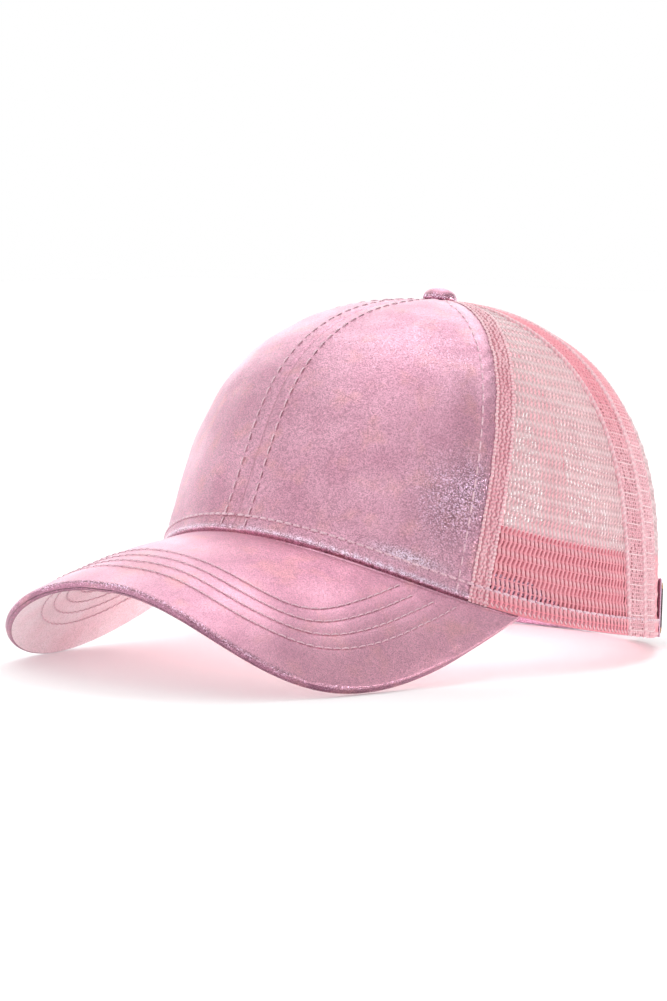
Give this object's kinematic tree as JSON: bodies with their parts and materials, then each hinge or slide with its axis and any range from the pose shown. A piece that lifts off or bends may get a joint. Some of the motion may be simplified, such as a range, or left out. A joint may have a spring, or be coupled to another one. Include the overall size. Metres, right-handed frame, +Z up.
{
  "type": "trucker cap",
  "caption": "Adult trucker cap with foil-coated front panels and curved visor, mesh side and back panels, sweatband, top button and a strapped half-moon opening at the back.",
  "frame": {"origin": "centre of the bounding box on the floor that the cap rests on", "axes": "-Y towards the visor's front, +X to the wearer's left, +Z up from the floor"},
  "size_m": [0.189, 0.2514, 0.1345],
  "materials": {
    "foil_fabric": "rose pink foil-coated cloth with a fine sparkle",
    "mesh_fabric": "pale pink warp-knit polyester net",
    "visor_cover": "rose pink foil-coated cloth with a fine sparkle",
    "visor_lining": "pink foil-coated cloth, duller than the top",
    "sweatband_cloth": "deep pink brushed cotton",
    "foil_button": "rose pink foil-coated cloth over a domed button",
    "binding_tape": "pink woven tape",
    "strap_fabric": "lilac pink foil-coated cloth",
    "label_leather": "dark brown leather with raw tan edges"
  },
  "bodies": {
    "root": {"crown_front_left": "foil_fabric", "crown_front_right": "foil_fabric", "mesh_side_left": "mesh_fabric", "mesh_side_right": "mesh_fabric", "mesh_back_left": "mesh_fabric", "mesh_back_right": "mesh_fabric", "visor_top": "visor_cover", "visor_under": "visor_lining", "sweatband": "sweatband_cloth", "button": "foil_button", "opening_binding": "binding_tape", "strap_left": "strap_fabric", "strap_right": "strap_fabric", "label": "label_leather"}
  },
  "joints": []
}
